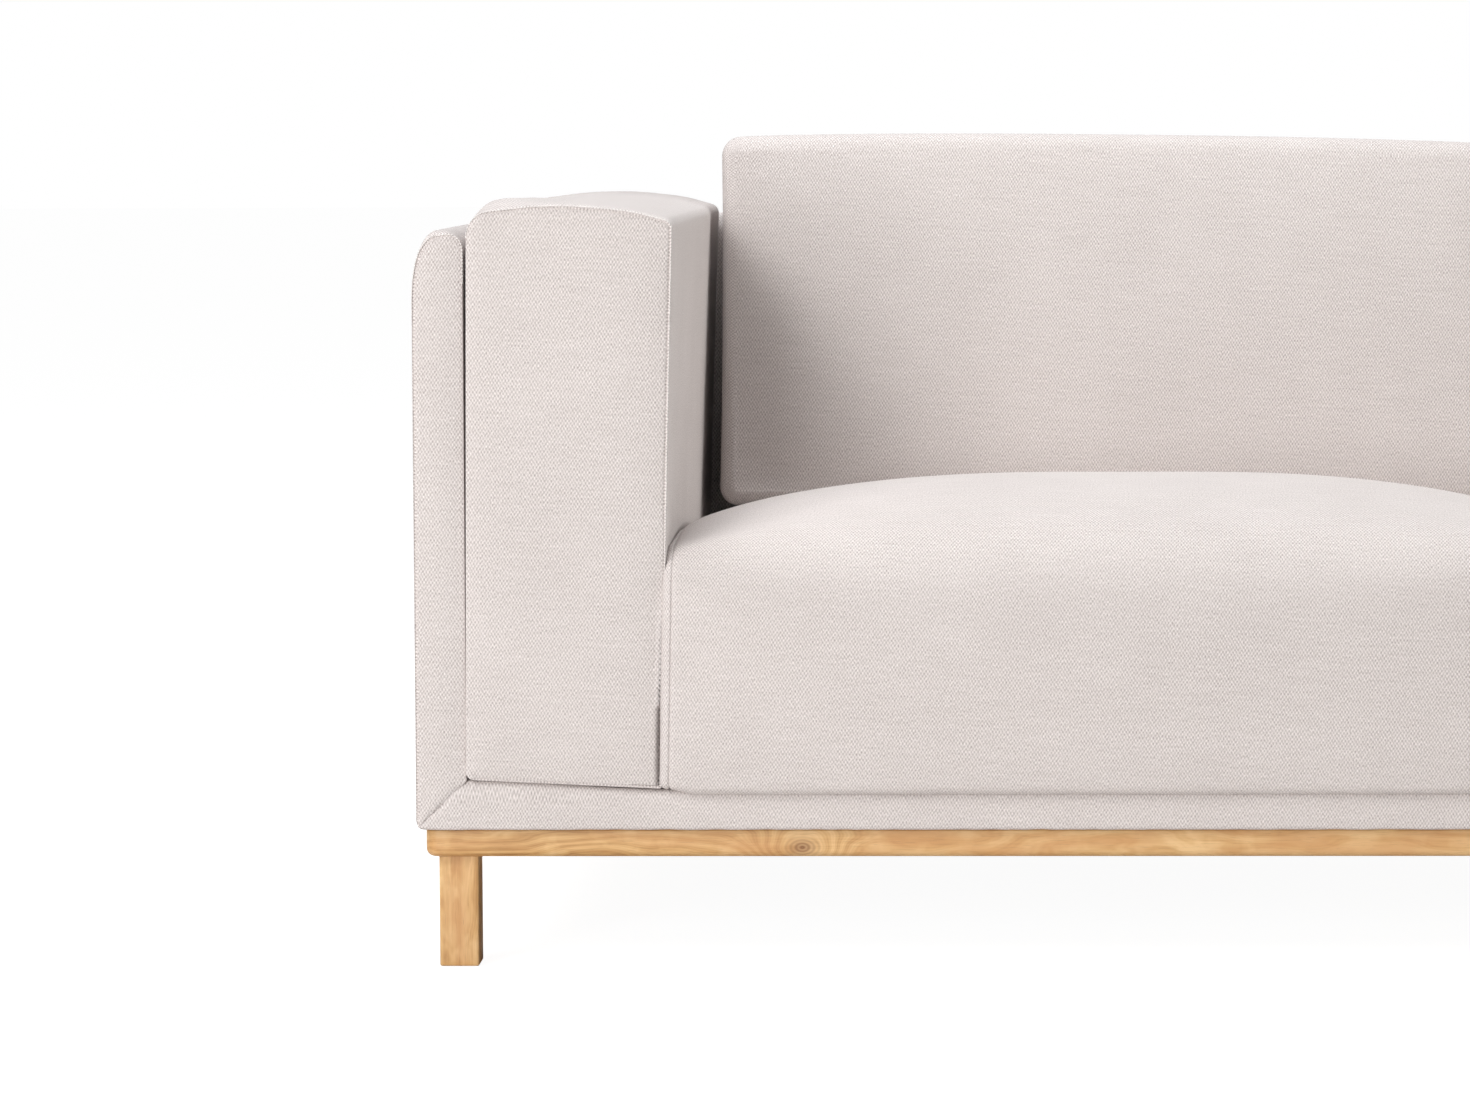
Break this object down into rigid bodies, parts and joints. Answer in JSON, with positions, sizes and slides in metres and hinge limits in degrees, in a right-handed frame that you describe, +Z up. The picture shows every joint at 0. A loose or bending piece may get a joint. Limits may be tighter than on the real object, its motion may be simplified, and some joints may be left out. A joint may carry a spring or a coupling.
{
  "type": "sofa",
  "caption": "Low boxy fabric sofa with padded arms, loose seat and back cushions, and a wooden plinth on square wooden legs.",
  "frame": {"origin": "on the floor under the middle of the sofa, at the bottom centre of its bounding box", "axes": "+X along the width to the viewer's right, -Y to the front where one sits, +Z up"},
  "size_m": [2.1, 0.86, 0.74],
  "materials": {
    "oak": "satin",
    "beech_dowel": "matte",
    "frame_timber": "matte",
    "plywood": "matte",
    "steel": "satin",
    "nylon": "matte",
    "webbing": "matte",
    "upholstery_fabric": "matte",
    "lining_cloth": "matte",
    "black_cloth": "matte",
    "foam": "matte",
    "zip_tape": "matte"
  },
  "bodies": {
    "root": {"front_rail": "oak", "rear_rail": "oak", "left_rail": "oak", "right_rail": "oak", "centre_rail": "oak", "rail_dowels": "beech_dowel", "rail_screws": "steel", "leg_front_left": "oak", "leg_front_right": "oak", "leg_rear_left": "oak", "leg_rear_right": "oak", "leg_centre": "oak", "leg_bolts": "steel", "leg_inserts": "steel", "leg_glides": "nylon", "base_front_board": "frame_timber", "base_rear_board": "frame_timber", "base_left_board": "plywood", "base_right_board": "plywood", "base_centre_board": "frame_timber", "corner_blocks": "frame_timber", "arm_bearers": "plywood", "back_bearer": "plywood", "seat_webbing": "webbing", "deck_cloth": "lining_cloth", "front_band": "upholstery_fabric", "dust_cover": "black_cloth", "left_panel_board": "plywood", "right_panel_board": "plywood", "back_panel_board": "plywood", "left_panel_cover": "upholstery_fabric", "right_panel_cover": "upholstery_fabric", "back_panel_cover": "upholstery_fabric", "arm_frame_left": "plywood", "arm_frame_right": "plywood", "arm_foam_left": "foam", "arm_foam_right": "foam", "arm_cover_left": "upholstery_fabric", "arm_cover_right": "upholstery_fabric", "back_frame": "frame_timber", "back_webbing": "webbing", "back_foam": "foam", "back_cover": "upholstery_fabric", "frame_bolts": "steel"},
    "seat_cushion_left": {"seat_cushion_cover_left": "upholstery_fabric", "seat_cushion_foam_left": "foam", "seat_cushion_zip_left": "zip_tape"},
    "back_cushion_left": {"back_cushion_cover_left": "upholstery_fabric", "back_cushion_foam_left": "foam", "back_cushion_zip_left": "zip_tape"},
    "seat_zip_pull_left": {"seat_zip_pull_left": "steel"},
    "back_zip_pull_left": {"back_zip_pull_left": "steel"},
    "seat_cushion_right": {"seat_cushion_cover_right": "upholstery_fabric", "seat_cushion_foam_right": "foam", "seat_cushion_zip_right": "zip_tape"},
    "back_cushion_right": {"back_cushion_cover_right": "upholstery_fabric", "back_cushion_foam_right": "foam", "back_cushion_zip_right": "zip_tape"},
    "seat_zip_pull_right": {"seat_zip_pull_right": "steel"},
    "back_zip_pull_right": {"back_zip_pull_right": "steel"}
  },
  "joints": [
    {"name": "seat_cushion_lift_left", "type": "slide", "parent": "root", "child": "seat_cushion_left", "axis": [0, 0, 1], "range_m": [0, 0.55]},
    {"name": "back_cushion_lift_left", "type": "slide", "parent": "seat_cushion_left", "child": "back_cushion_left", "axis": [0, 0, 1], "range_m": [0, 0.3]},
    {"name": "seat_zip_slide_left", "type": "slide", "parent": "seat_cushion_left", "child": "seat_zip_pull_left", "axis": [-1, 0, 0], "range_m": [0, 0.64]},
    {"name": "back_zip_slide_left", "type": "slide", "parent": "back_cushion_left", "child": "back_zip_pull_left", "axis": [-1, 0, 0], "range_m": [0, 0.62]},
    {"name": "seat_cushion_lift_right", "type": "slide", "parent": "root", "child": "seat_cushion_right", "axis": [0, 0, 1], "range_m": [0, 0.55]},
    {"name": "back_cushion_lift_right", "type": "slide", "parent": "seat_cushion_right", "child": "back_cushion_right", "axis": [0, 0, 1], "range_m": [0, 0.3]},
    {"name": "seat_zip_slide_right", "type": "slide", "parent": "seat_cushion_right", "child": "seat_zip_pull_right", "axis": [1, 0, 0], "range_m": [0, 0.64]},
    {"name": "back_zip_slide_right", "type": "slide", "parent": "back_cushion_right", "child": "back_zip_pull_right", "axis": [1, 0, 0], "range_m": [0, 0.62]}
  ]
}
